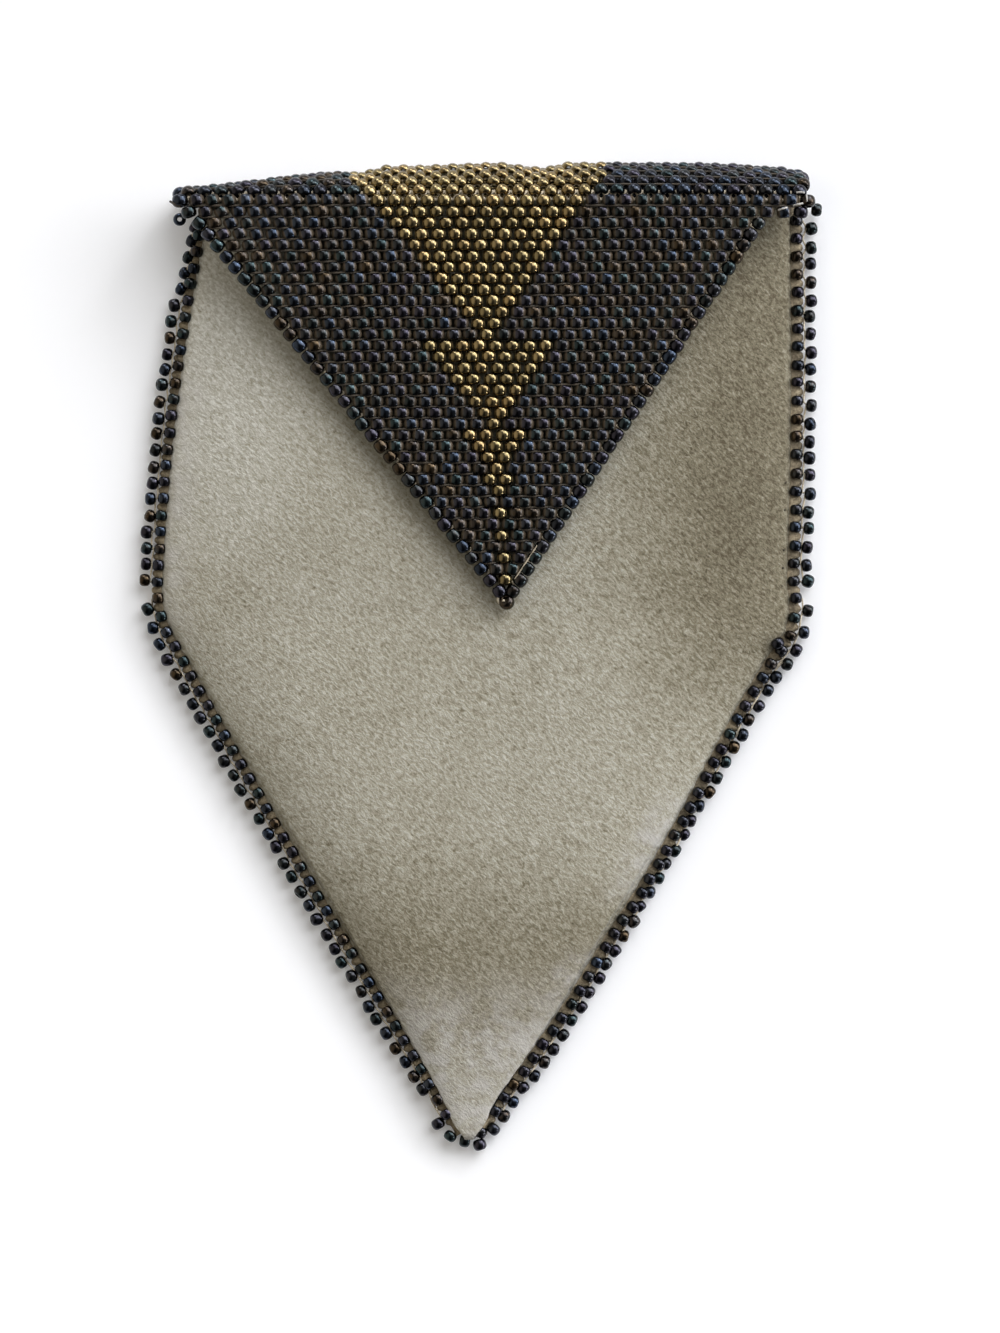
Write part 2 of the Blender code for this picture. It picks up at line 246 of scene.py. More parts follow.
# Lobes of the room's light: (zenith, azimuth), angles where each is full and where it ends, strength
WINDOW_LOBES = [
    ((36, 62), 5, 18, 3.2), ((54, 70), 8, 24, 4.1), ((60, 40), 10, 27, 5.6), ((76, 10), 7, 20, 8.0),
    ((78, 100), 5, 15, 7.5), ((68, 52), 2, 6, 30.0),
]
PANE_LOBE = ((50, 6), 7, 16, 0.95)
WALL_LOBE = ((66, 178), 15, 62, 0.60)
ONLOOKER_LOBES = [((48, -96), 12, 32, 0.85), ((16, -100), 8, 24, 0.85), ((75, -96), 10, 28, 0.6)]
AMBIENT = 0.155
FLOOR_GLOW = 0.13
SENSOR_WIDTH = 36


# Meshes


def new_object(name, data):
    thing = bpy.data.objects.new(name, data)
    bpy.context.scene.collection.objects.link(thing)
    return thing


def add_piece(name, points, faces, material, body, values=None):
    """A smooth mesh that rides on a CAD body, if one is given.

    values holds one number a point for each named attribute.
    """
    mesh = bpy.data.meshes.new(name)
    mesh.from_pydata([tuple(point) for point in points], [], [tuple(face) for face in faces])
    mesh.shade_smooth()
    for key, numbers in (values or {}).items():
        layer = mesh.attributes.new(key, "FLOAT", "POINT")
        layer.data.foreach_set("value", np.asarray(numbers, np.float32))
    mesh.materials.append(material)
    piece = new_object(name, mesh)
    if body:
        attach(piece, body)
    return piece


def ring_faces(rings, sides, closed=False):
    """Quads between rings of points, each ring a closed loop of sides points."""
    faces = []
    for ring in range(rings if closed else rings - 1):
        near, far = ring * sides, (ring + 1) % rings * sides
        for side in range(sides):
            after = (side + 1) % sides
            faces.append((near + side, near + after, far + after, far + side))
    return faces


def rod_faces(rings, sides):
    """Quads between rings of points, and a face at each end."""
    last = (rings - 1) * sides
    return ring_faces(rings, sides) + [tuple(reversed(range(sides))), tuple(range(last, last + sides))]


def bead_template(half):
    """A bead of radius 1 with its hole along Y.

    Its points go from one end of the hole round the outside to the other.
    """
    profile = [(-along, out) for along, out in reversed(half)] + [(0.0, 1.0)] + half
    points = []
    for along, out in profile:
        for side in range(BEAD_SIDES):
            angle = side / BEAD_SIDES * 2 * math.pi
            points.append((out * math.cos(angle), along, out * math.sin(angle)))
    return np.array(points), np.array(ring_faces(len(profile), BEAD_SIDES, closed=True))


ROUND_BEAD, BEAD_FACES = bead_template(ROUND_PROFILE)
FULL_BEAD, _ = bead_template(FULL_PROFILE)


def make_beads(name, beads, material, body, template):
    """beads holds (matrix, radius, half length, flanks), with each bead's hole along its own Y.

    bead_flank is 0 along the line of a bead that looks up, and flanks at its sides, where a reflection is
    painted.
    """
    points, faces, hue, shade, flank = [], [], [], [], []
    for index, (matrix, radius, half_length, flanks) in enumerate(beads):
        size = 1 + THICKNESS_SPREAD * random.standard_normal()
        length = 1 + LENGTH_SPREAD * random.standard_normal()
        scaled = template * np.array([radius * size, half_length * length, radius * size])
        place = np.array(matrix)
        turned = scaled @ place[:3, :3].T
        points.append(turned + place[:3, 3])
        level = max(math.hypot(place[0, 1], place[1, 1]), 0.2)
        sideways = np.array([place[1, 1], -place[0, 1], 0.0]) / level
        flank.append(flanks * np.abs(turned @ sideways) / (radius * size))
        faces.append(BEAD_FACES + index * len(template))
        hue.append(np.full(len(template), random.random()))
        shade.append(np.full(len(template), random.random()))
    values = {"bead_hue": hue, "bead_shade": shade, "bead_flank": flank}
    values = {key: np.concatenate(numbers) for key, numbers in values.items()}
    return add_piece(name, np.concatenate(points), np.concatenate(faces), material, body, values)


def smooth_line(points, steps):
    """A Catmull-Rom line through the points, with steps points between two of them."""
    line = []
    points = [Vector(point) for point in points]
    padded = [points[0], *points, points[-1]]
    for a, b, c, d in zip(padded, padded[1:], padded[2:], padded[3:]):
        for step in range(steps):
            t = step / steps
            bend = (2 * a - 5 * b + 4 * c - d) * t**2 + (3 * b - a - 3 * c + d) * t**3
            line.append(0.5 * (2 * b + (c - a) * t + bend))
    return line + [points[-1]]


def tube(line, radius, sides=8):
    """Points and faces of a closed tube along a line of vectors."""
    points = []
    side_way = Vector((0.31, 0.17, 0.93))
    for index, centre in enumerate(line):
        ahead = (line[min(index + 1, len(line) - 1)] - line[max(index - 1, 0)]).normalized()
        side_way = (side_way - ahead * side_way.dot(ahead)).normalized()
        other = ahead.cross(side_way)
        for side in range(sides):
            angle = side / sides * 2 * math.pi
            points.append(centre + (side_way * math.cos(angle) + other * math.sin(angle)) * radius)
    return points, rod_faces(len(line), sides)


def joined(tubes):
    """Points and faces of several tubes as one mesh."""
    points, faces = [], []
    for more_points, more_faces in tubes:
        faces += [tuple(index + len(points) for index in face) for face in more_faces]
        points += more_points
    return points, faces


def make_threads(name, threads, body, material=None):
    """threads holds (points, radius). Each becomes a tube, and all of them one piece."""
    points, faces = joined(tube(smooth_line(line, 5), radius) for line, radius in threads)
    return add_piece(name, points, faces, material or THREAD, body)


def in_mm(points):
    return [Vector(point) * MM for point in points]


# The suede's outline


def bezier(start, control, end, steps):
    """A quadratic curve without its last point."""
    return [
        start * (1 - t) ** 2 + control * 2 * t * (1 - t) + end * t**2
        for t in (step / steps for step in range(steps))
    ]


def side_corners(side):
    """Corners of one side of the outline, at the mouth, the shoulder and the tip."""
    mouth = Vector((MOUTH_CENTRE_X + side * MOUTH_WIDTH / 2, MOUTH_Y))
    shoulder = Vector((SHOULDER_CENTRE_X + side * SHOULDER_WIDTH / 2, SHOULDER_Y))
    tip = Vector((TIP_X + side * TIP_WIDTH / 2, TIP_Y))
    return mouth, shoulder, tip


def straight_side(side):
    mouth, shoulder, _ = side_corners(side)
    end = shoulder + Vector((0, CORNER_ROUNDING))
    control = Vector((shoulder.x - side * SIDE_BOW[side], (mouth.y + shoulder.y) / 2))
    return bezier(mouth, control, end, 24) + [end]


def tapered_side(side):
    _, shoulder, tip = side_corners(side)
    start = shoulder + Vector((0, CORNER_ROUNDING))
    along = (tip - shoulder).normalized()
    end = shoulder + along * CORNER_ROUNDING
    control = (end + tip) / 2 + Vector((-along.y, along.x)) * side * 2 * TAPER_BOW
    return bezier(start, shoulder, end, 12) + bezier(end, control, tip, 36) + [tip]


def edge_line(side):
    return straight_side(side) + tapered_side(side)[1:]


EDGE = {side: edge_line(side) for side in (-1, 1)}


def edge_x(side, y):
    heights = [point.y for point in reversed(EDGE[side])]
    return float(np.interp(y, heights, [point.x for point in reversed(EDGE[side])]))


def cut_at(line, side, top):
    """The part of a side's line below a height."""
    return [Vector((edge_x(side, top), top))] + [point for point in line if point.y < top - 0.3 * MM]


def edge_swell(side, y):
    """How far the front's edge lies outside the plain outline."""
    return float(np.interp(y / MM, FRONT_SWELL_Y, FRONT_SWELL[side])) * MM


def walk(path, pitch, shift):
    """(point, direction) at the middle of each of the equal steps of about pitch along a path."""
    reach = np.cumsum([0] + [(b - a).length for a, b in zip(path, path[1:])])
    count = max(1, round((reach[-1] - shift) / pitch))
    places = []
    for step in range(count):
        at = shift + (step + 0.5) * (reach[-1] - shift) / count
        index = min(int(np.searchsorted(reach, at)), len(path) - 1)
        start, end = path[index - 1], path[index]
        direction = (end - start).normalized()
        places.append((start + direction * (at - reach[index - 1]), direction))
    return places


# How the bead rows lie


def ease(value):
    """0 below 0 and 1 above 1, with a soft step between them."""
    value = min(max(value, 0.0), 1.0)
    return value * value * (3 - 2 * value)


def fold_slope(step):
    """How steeply the fold lies, a number of rows beyond the flap."""
    return FOLD_STEEPEST * (1 - math.exp(-step / FOLD_EASING)) if step > 0 else 0.0


def fold_wave(x):
    return float(np.interp(x / MM, FOLD_WAVE_X, FOLD_WAVE_Y)) * MM


def side_drop(x):
    return SIDE_DROP * (abs(x) / FLAP_HALF_WIDTH) ** 4


def tip_drop(y):
    return TIP_DROP * (max(FLAP_LAST_Y - y, 0) / FLAP_LENGTH) ** 2


def fold_line(x):
    """(y, z, slope) of each row from the flap's last one to the root row, at one place along the mouth.

    Towards the ends of the mouth the fold is tighter, and its last rows hang more steeply.
    """
    limit = float(np.interp(x / MM, FOLD_REACH_X, FOLD_REACH)) * MM
    start_z = FLAP_Z - side_drop(x)
    steps = []
    natural, reached = 0.0, 0.0
    for step in range(1, FOLD_ROWS + 2):
        natural += ROW_PITCH * math.cos(fold_slope(step))
        eased = natural / (1 + (natural / limit) ** 4) ** 0.25
        forward = eased - reached
        reached = eased
        steps.append((forward, math.sqrt(ROW_PITCH**2 - forward**2)))
    room = start_z - TABLE_CLEARANCE
    squeeze = min(1.0, room / sum(down for _, down in steps[:-1]))
    y, z = FLAP_LAST_Y, start_z
    line = [(y, z, 0.0)]
    for step, (forward, down) in enumerate(steps, 1):
        y += forward
        z -= down * squeeze
        share = min(step / FOLD_ROWS, 1)
        line.append((y + fold_wave(x) * share, z, math.atan2(down, forward)))
    return line


def row_bead_place(row, x):
    """The matrix of the bead at x in a row, with its hole along the row's own Y."""
    step = row - FLAP_ROWS
    if step <= 0:
        y = FLAP_LAST_Y + step * ROW_PITCH
        z = FLAP_Z - side_drop(x) - tip_drop(y)
        lean = 2 * TIP_DROP * (FLAP_LAST_Y - y) / FLAP_LENGTH**2
        if step == 0:
            lean = -fold_line(x)[1][2] / 2
    elif row < ROOT_ROW:
        line = fold_line(x)
        y, z, slope = line[step]
        lean = -(slope + line[step + 1][2]) / 2
    else:
        y = ROOT_Y + fold_wave(x) - ROOT_SINK * ease((ROOT_SINK_X - x) / ROOT_SINK_WIDTH)
        z = ROOT_Z
        lean = -fold_slope(step)
    roll = math.copysign(4 * SIDE_DROP * abs(x) ** 3 / FLAP_HALF_WIDTH**4, x) if step <= 0 else 0.0
    return Matrix.Translation((x, y, z)) @ Matrix.Rotation(roll, 4, "Y") @ Matrix.Rotation(lean, 4, "X")


def row_body(row):
    if row == ROOT_ROW:
        return "root"
    return "flap" if row <= FLAP_ROWS else "fold"


def row_node(row):
    """The CAD's node of a row. Rows count from the flap's tip over the fold to the root row."""
    return "root_row" if row == ROOT_ROW else f"{row_body(row)}_row_{row:02d}"


def row_beads(row):
    """x of each bead of a row, read from the CAD row's box."""
    low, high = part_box(row_node(row))
    count = round((high.x - low.x - 2 * CAD_BEAD_RADIUS) / BEAD_PITCH) + 1
    return [low.x + CAD_BEAD_RADIUS + index * BEAD_PITCH for index in range(count)]


def gold_beads(row):
    """How many gold beads stand in the middle of a row, as in the CAD source.

    From the top: the triangle, the middle arrow, the small lower arrow and the dotted line.
    """
    if row > 24:
        return min(row - 24, 15 + (row + 15) % 2)
    if row > 16:
        return row - 16
    if row > 12:
        return row - 12
    if row == 12:
        return 2
    return row % 2 if row >= 3 else 0


def row_centre(row):
    """x of the middle of the gold pattern."""
    return (PATTERN_X - PATTERN_DRIFT * (min(row, FLAP_ROWS) - 1)) * MM


# Materials


def new_material(name):
    material = bpy.data.materials.new(name)
    material.use_nodes = True
    tree = material.node_tree
    return material, tree, tree.nodes["Principled BSDF"]


def set_inputs(tree, node, inputs):
    """inputs holds values, or other nodes' sockets to link from."""
    for key, value in inputs.items():
        if isinstance(value, bpy.types.NodeSocket):
            tree.links.new(value, node.inputs[key])
        else:
            node.inputs[key].default_value = value


def add_node(tree, kind, inputs=None, **settings):
    node = tree.nodes.new("ShaderNode" + kind)
    for key, value in settings.items():
        setattr(node, key, value)
    set_inputs(tree, node, inputs or {})
    return node


def ramp(tree, factor, stops, interpolation="LINEAR"):
    """A colour ramp: stops holds (position, colour)."""
    node = add_node(tree, "ValToRGB", {"Fac": factor})
    node.color_ramp.interpolation = interpolation
    elements = node.color_ramp.elements
    while len(elements) < len(stops):
        elements.new(0.5)
    for element, (position, colour) in zip(elements, stops):
        element.position = position
        element.color = (*colour, 1)
    return node.outputs["Color"]


def math_node(tree, operation, a, b):
    return add_node(tree, "Math", {0: a, 1: b}, operation=operation).outputs[0]


def add(tree, a, b):
    return math_node(tree, "ADD", a, b)


def subtract(tree, a, b):
    return math_node(tree, "SUBTRACT", a, b)


def multiply(tree, a, b):
    return math_node(tree, "MULTIPLY", a, b)


def object_place(tree):
    return add_node(tree, "TexCoord").outputs["Object"]


def attribute(tree, name):
    return add_node(tree, "Attribute", attribute_name=name).outputs["Fac"]


def spread(tree, value, low, high, to_low=0.0, to_high=1.0, interpolation="SMOOTHSTEP"):
    """value from low to high, eased on to to_low to to_high."""
    inputs = {"Value": value, "From Min": low, "From Max": high, "To Min": to_low, "To Max": to_high}
    return add_node(tree, "MapRange", inputs, interpolation_type=interpolation).outputs["Result"]


def noise(tree, vector, scale, detail=2.0, roughness=0.5, distortion=0.0):
    inputs = {"Vector": vector, "Scale": scale, "Detail": detail}
    inputs |= {"Roughness": roughness, "Distortion": distortion}
    return add_node(tree, "TexNoise", inputs).outputs["Fac"]


def about_zero(tree, value, amount):
    """A noise that lies about 0.5 moved to lie about 0, times amount."""
    return multiply(tree, subtract(tree, value, 0.5), amount)


def tint(tree, colour, brightness):
    """colour made brighter or darker by a number."""
    inputs = {0: colour, "Scale": brightness}
    return add_node(tree, "VectorMath", inputs, operation="SCALE").outputs["Vector"]


def mix_colour(tree, share, first, second):
    """first and second mixed by a share, where second is a constant colour."""
    inputs = {"Factor": share, 6: first, 7: (*second, 1)}
    return add_node(tree, "Mix", inputs, data_type="RGBA").outputs[2]


def bump(tree, height, strength, distance):
    inputs = {"Height": height, "Strength": strength, "Distance": distance}
    return add_node(tree, "Bump", inputs).outputs["Normal"]


def bead_material(name, stops, flank_reflection_colour, flank_from_to, coat, shades):
    """Glass with a metallic lustre that differs from bead to bead. Its flanks are painted with a dull brown
    reflection of the room.
    """
    material, tree, shader = new_material(name)
    place = object_place(tree)
    film = noise(tree, place, 1400)
    hue = add(tree, attribute(tree, "bead_hue"), about_zero(tree, film, 0.35))
    flank_reflection = spread(tree, attribute(tree, "bead_flank"), *flank_from_to)
    colour = mix_colour(tree, flank_reflection, ramp(tree, hue, stops), flank_reflection_colour)
    brightness = spread(tree, attribute(tree, "bead_shade"), 0.0, 1.0, *shades, interpolation="LINEAR")
    set_inputs(tree, shader, {
        "Base Color": tint(tree, colour, brightness),
        "Metallic": subtract(tree, 1.0, flank_reflection),
        "Roughness": add(tree, spread(tree, film, 0.3, 0.7, 0.16, 0.26), multiply(tree, flank_reflection, 0.25)),
        "Normal": bump(tree, noise(tree, place, 3500), 0.05, 0.05 * MM),
        "Coat Weight": coat,
        "Coat Roughness": 0.08,
    })
    return material


def dark_bead_material():
    stops = [
        (0.0, (0.027, 0.037, 0.056)), (0.20, (0.030, 0.033, 0.040)), (0.40, (0.034, 0.031, 0.042)),
        (0.58, (0.031, 0.033, 0.034)), (0.74, (0.024, 0.038, 0.041)), (0.88, (0.036, 0.032, 0.031)),
        (1.0, (0.052, 0.037, 0.022)),
    ]
    # Its flank colour is a painted brown reflection
    return bead_material("dark_bead", stops, (0.062, 0.045, 0.027), (0.46, 0.70), 0.06, (0.75, 1.30))


def gold_bead_material():
    stops = [(0.0, (0.205, 0.160, 0.077)), (0.5, (0.226, 0.175, 0.088)), (1.0, (0.246, 0.175, 0.081))]
    # Its flank colour is a painted dark brown reflection
    return bead_material("gold_bead", stops, (0.10, 0.075, 0.03), (0.74, 0.96), 0.10, (0.8, 1.2))


def fibrous_material(name, dark, light, fibre_scale, distortion, patch_scale, brightest, relief, others):
    """Fibres between two colours, in patches of brightness. relief is the bump's strength and height."""
    material, tree, shader = new_material(name)
    place = object_place(tree)
    fibres = noise(tree, place, fibre_scale, 3.0, 0.6, distortion)
    brightness = spread(tree, noise(tree, place, patch_scale), 0.3, 0.7, 0.7, brightest)
    colour = tint(tree, ramp(tree, fibres, [(0.3, dark), (0.7, light)]), brightness)
    set_inputs(tree, shader, {"Base Color": colour, "Normal": bump(tree, fibres, *relief), **others})
    return material


def thread_material(name, dark, light):
    others = {"Roughness": 0.75, "Sheen Weight": 0.2}
    return fibrous_material(name, dark, light, 5200, 0.6, 260, 1.2, (0.5, 0.06 * MM), others)


def raw_edge_material():
    """The suede's cut edge, brown between the edging's beads."""
    dark, light = (0.13, 0.10, 0.06), (0.40, 0.33, 0.22)
    others = {"Roughness": 0.9}
    return fibrous_material("suede_edge", dark, light, 2600, 0.8, 320, 1.3, (0.6, 0.1 * MM), others)


def suede_tone_and_painted_light(tree, place):
    """How light the suede is: painted light at the upper left, painted shade at the upper right, darker
    above the tip and lighter at the tip.
    """
    axes = add_node(tree, "SeparateXYZ", {"Vector": place}).outputs
    x, y = axes["X"], axes["Y"]
    painted_shade_upper_right = multiply(tree, spread(tree, y, -24 * MM, 12 * MM), spread(tree, x, 8 * MM, 34 * MM))
    painted_light_upper_left = multiply(tree, spread(tree, y, 4 * MM, 30 * MM), spread(tree, x, -10 * MM, -36 * MM))
    lower = spread(tree, y, -20 * MM, -40 * MM, 0.0, 0.27)
    tip = spread(tree, y, -44 * MM, -56 * MM, 0.0, 0.24)
    # Painted shade darkens the upper right, and painted light brightens the upper left
    tone = subtract(tree, 0.55, multiply(tree, painted_shade_upper_right, 0.40))
    tone = add(tree, tone, multiply(tree, painted_light_upper_left, 0.24))
    tone = add(tree, subtract(tree, tone, lower), tip)
    return add(tree, tone, about_zero(tree, noise(tree, place, 90, 3.0, 0.6, 0.4), 0.24))


def nap(tree, place, turn, scale, detail):
    """Noise drawn out into short strokes along one direction, given in degrees. scale holds their size."""
    inputs = {"Vector": place, "Rotation": (0, 0, math.radians(turn)), "Scale": scale}
    laid = add_node(tree, "Mapping", inputs, vector_type="TEXTURE").outputs["Vector"]
    return noise(tree, laid, 1.0, detail, 0.6, 0.5)


def suede_material():
    """Napped suede: painted light and shade, random patches, strokes where the nap lies over, pores, grain
    and paler places.
    """
    material, tree, shader = new_material("suede")
    place = object_place(tree)
    strokes = nap(tree, place, -42, (0.70 * MM, 0.34 * MM, 0.70 * MM), 2.0)
    pores = noise(tree, place, 1500, 1.0, 0.4)
    grain = noise(tree, place, 4200, 2.0, 0.6)
    tone = suede_tone_and_painted_light(tree, place)
    tone = add(tree, tone, spread(tree, strokes, 0.30, 0.72, -0.20, 0.26, interpolation="LINEAR"))
    tone = subtract(tree, tone, spread(tree, pores, 0.34, 0.22, 0.0, 0.20))
    tone = add(tree, tone, about_zero(tree, grain, 0.45))
    stops = [
        (0.0, (0.10, 0.082, 0.050)), (0.28, (0.215, 0.190, 0.130)), (0.56, (0.37, 0.345, 0.27)),
        (0.80, (0.50, 0.48, 0.41)), (1.0, (0.66, 0.65, 0.59)),
    ]
    pale_patches = spread(tree, noise(tree, place, 420, 3.0, 0.6), 0.36, 0.62, 0.15, 0.75)
    paler = multiply(tree, attribute(tree, "paler"), pale_patches)
    set_inputs(tree, shader, {
        "Base Color": mix_colour(tree, paler, ramp(tree, tone, stops), (0.52, 0.50, 0.475)),
        "Normal": bump(tree, add(tree, strokes, multiply(tree, grain, 0.5)), 0.5, 0.2 * MM),
        "Roughness": 0.92,
        "Sheen Weight": 0.15,
        "Sheen Roughness": 0.5,
        "Specular IOR Level": 0.2,
    })
    return material


# A dark colour painted as the shade inside the stitch holes
def hole_shade_material():
    material, tree, shader = new_material("stitch_hole")
    stops = [(0.3, (0.035, 0.028, 0.018)), (0.7, (0.075, 0.062, 0.044))]
    colour = ramp(tree, noise(tree, object_place(tree), 3000), stops)
    set_inputs(tree, shader, {"Base Color": colour, "Roughness": 1.0})
    return material


DARK = dark_bead_material()
HOLE_SHADE = hole_shade_material()
GOLD = gold_bead_material()
THREAD = thread_material("thread", (0.36, 0.29, 0.19), (0.70, 0.62, 0.48))
PALE_THREAD = thread_material("pale_thread", (0.34, 0.32, 0.29), (0.58, 0.56, 0.52))
# A dark thread: in the valleys between rows, its dark colour is painted shade
DARK_THREAD = thread_material("dark_thread", (0.026, 0.019, 0.010), (0.062, 0.045, 0.026))
SUEDE = suede_material()
RAW_EDGE = raw_edge_material()


# The suede panels


def front_room(y):
    """How far the front stands up in its middle above its own edge."""
    taper = max(SHOULDER_Y - y, 0) / (SHOULDER_Y - TIP_Y)
    return (FRONT_RISE - tip_drop(max(y, SHOULDER_Y))) * (1 - taper**2)


def soft_waves(x, y):
    """The suede's slow undulation, in metres."""
    u, v = x / MM, y / MM
    wave = math.sin(u / 9.1 + v / 14.7 + 0.6)
    wave += 0.7 * math.sin(u / 5.3 - v / 8.9 + 2.1)
    wave += 0.5 * math.sin(v / 4.7 + u / 12)
    return WAVE_HEIGHT * wave


def band(value, middle, half, fade):
    """1 about the middle of a band and 0 beyond half its width, with a soft step of width fade."""
    return ease((half - abs(value - middle)) / fade)


def paler_share(x, y):
    """1 where the suede is paler: at the tip, where the nap is rubbed pale, along parts of the right taper
    and at the left edge.
    """
    u, v = x / MM, y / MM
    from_left, from_right = u - edge_x(-1, y) / MM, edge_x(1, y) / MM - u
    tip = 0.9 * ease((-38 - v) / 14)
    taper = band(0.86 * from_right, 1.0, 3.2, 2.8) * (band(v, -24, 9, 6) + 0.8 * band(v, -41, 5, 4))
    left = 0.6 * ease((5.0 - from_left) / 4) * band(v, 20, 22, 10)
    return max(tip, taper * (0.7 + 0.3 * math.sin(1.9 * v + u)), left)


def front_top(across, x, y):
    fade = 1 - across**4
    return FRONT_EDGE_Z + front_room(y) * fade + soft_waves(x, y) * fade


def front_bottom(across, x, y):
    return max(front_top(across, x, y) - SUEDE_THICKNESS, 1.08 * MM)


def across_shares(width):
    """(share of the width from the left, how far the surface has turned down) of each column of a panel."""
    turn = [(inside * MM / width, down * MM) for inside, down in EDGE_TURN]
    even = [(0.02 + 0.96 * step / ACROSS_STEPS, 0.0) for step in range(ACROSS_STEPS + 1)]
    return turn + even + [(1 - share, down) for share, down in reversed(turn)]


def sheet_faces(rows, columns):
    """Faces of a closed sheet. Its points are a grid for its top, then one for its underside."""
    below = rows * columns
    last = below - columns
    faces = []
    for row in range(rows - 1):
        for column in range(columns - 1):
            a = row * columns + column
            quad = (a, a + columns, a + columns + 1, a + 1)
            faces.append(quad)
            faces.append(tuple(below + index for index in reversed(quad)))
    for column in range(columns - 1):
        faces.append((column, column + 1, below + column + 1, below + column))
        faces.append((last + column + 1, last + column, below + last + column, below + last + column + 1))
    for row in range(rows - 1):
        a, b = row * columns, (row + 1) * columns
        faces.append((b, a, below + a, below + b))
        a, b = a + columns - 1, b + columns - 1
        faces.append((a, b, below + b, below + a))
    return faces


def panel_x(share, left, right, y, swell):
    """x of a panel's point, a share of the way from left to right."""
    scallop = SCALLOP_DEPTH * math.sin(y / SCALLOP_PITCH * 2 * math.pi)
    x = left - scallop + (right - left + 2 * scallop) * share
    x += swell * edge_swell(1, y) * ease((share - (1 - SWELL_REACH)) / SWELL_REACH)
    x -= swell * edge_swell(-1, y) * ease((SWELL_REACH - share) / SWELL_REACH)
    middle = (left + right) / 2 + PINCH_X
    return x + (middle - x) * PINCH * ease((TIP_Y + PINCH_LENGTH - y) / PINCH_LENGTH)


def make_panel(name, node, rows, top, bottom, top_edge, swell):
    """A panel of suede with both its faces, and a row of points at each y of rows.

    top and bottom give heights, top_edge moves the upper end, and swell is its share of the front's swell.
    """
    upper, lower, paler = [], [], []
    for index, y in enumerate(rows):
        left, right = edge_x(-1, y), edge_x(1, y)
        columns = across_shares(right - left)
        for share, down in columns:
            x = panel_x(share, left, right, y, swell)
            across = 2 * share - 1
            shift = top_edge(x) * ease((y - (rows[0] - MOUTH_SHIFT_LENGTH)) / MOUTH_SHIFT_LENGTH)
            shift -= TIP_DRAW * ease((TIP_Y + TIP_DRAW_LENGTH - y) / TIP_DRAW_LENGTH)
            turned = down if index else down + MOUTH_TURN
            high = max(top(across, x, y) - turned, LEAST_TOP_Z)
            low = min(bottom(across, x, y) + down * 0.3, high - LEAST_THICKNESS)
            paler.append(paler_share(x, y))
            upper.append((x, y + shift, high))
            lower.append((x, y + shift, max(low, 0.0)))
    faces = sheet_faces(len(rows), len(columns))
    piece = add_piece(name, upper + lower, faces, SUEDE, "root", {"paler": paler * 2})
    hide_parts(node)
    return piece


def panel_rows(mouth, step):
    """y of a panel's rows of points: close together where the mouth's edge turns, then even ones."""
    start = mouth - MOUTH_TURN_WIDTH
    count = round((start - TIP_Y) / step)
    even = [start - (start - TIP_Y) * index / count for index in range(1, count + 1)]
    return [mouth, start - MOUTH_TURN_WIDTH] + even


def make_front():
    rows = panel_rows(FRONT_MOUTH_Y, 0.8 * MM)
    panel = make_panel("front_suede", "front_panel", rows, front_top, front_bottom, lambda x: 0.0, 1.0)


def mouth_shift(x):
    """The back panel's upper edge follows the root row, and its corners are rounded off."""
    left = 1.2 * MM * ease((-24 * MM - x) / (9 * MM))
    right = 0.8 * MM * ease((x - 36 * MM) / (3 * MM))
    return fold_wave(x) - 0.5 * MM - left - right


def make_back():
    rows = panel_rows(MOUTH_Y, 1.2 * MM)
    panel = make_panel(
        "back_suede", "back_panel", rows,
        lambda across, x, y: SUEDE_THICKNESS,
        lambda across, x, y: 0.0,
        mouth_shift, 0.5,
    )


def make_seam(side, word):
    """The panels' raw edges, which swell out between the beads of the inner row."""
    beads = [place for place, _ in side_places(side, "side", False) + side_places(side, "taper", False)]
    rings = walk(cut_at(EDGE[side], side, FRONT_MOUTH_Y + 1.8 * MM), 0.2 * MM, 0)
    points = []
    for place, direction in rings:
        outward = Vector((-direction.y, direction.x)) * side
        near = min((place - bead).length for bead in beads)
        between = ease((near - 0.45 * MM) / (0.5 * MM))
        reach = INNER_OFFSET[side] + SEAM_REACH + SEAM_BULGE * between
        for out, height in SEAM_PROFILE:
            drop = max(out, 0) * SEAM_DROP * (1 - between)
            at = place + outward * (out * reach + edge_swell(side, place.y) if out > 0 else out * MM)
            points.append((at.x, at.y, (height - drop) * MM))
    faces = rod_faces(len(rings), len(SEAM_PROFILE))
    if side < 0:
        faces = [tuple(reversed(face)) for face in faces]
    add_piece(f"seam_{word}", points, faces, RAW_EDGE, "root")


# The edging


def side_places(side, stretch, outer):
    """(place on the suede's edge, direction) of each bead of one stretch of the edging."""
    path, pitch = tapered_side(side), TAPER_EDGE_PITCH
    if stretch == "side":
        path, pitch = cut_at(straight_side(side), side, FRONT_MOUTH_Y), SIDE_EDGE_PITCH[side]
    return walk(path, pitch, pitch / 2 if outer else 0)


def corner_pile(side, y):
    """1 at the left corner of the mouth, where the edging is piled up, and 0 below it."""
    return ease((y - PILE_Y) / PILE_LENGTH) if side < 0 else 0.0


def outer_offset(side, y):
    """How far out the outer row lies: less at the left corner of the mouth and at the tip."""
    inset = PILE_INSET * corner_pile(side, y) + TIP_INSET[side] * ease((-48 * MM - y) / (9 * MM))
    return OUTER_OFFSET[side] - inset + edge_swell(side, y) * ease((y + 3 * MM) / (3 * MM))


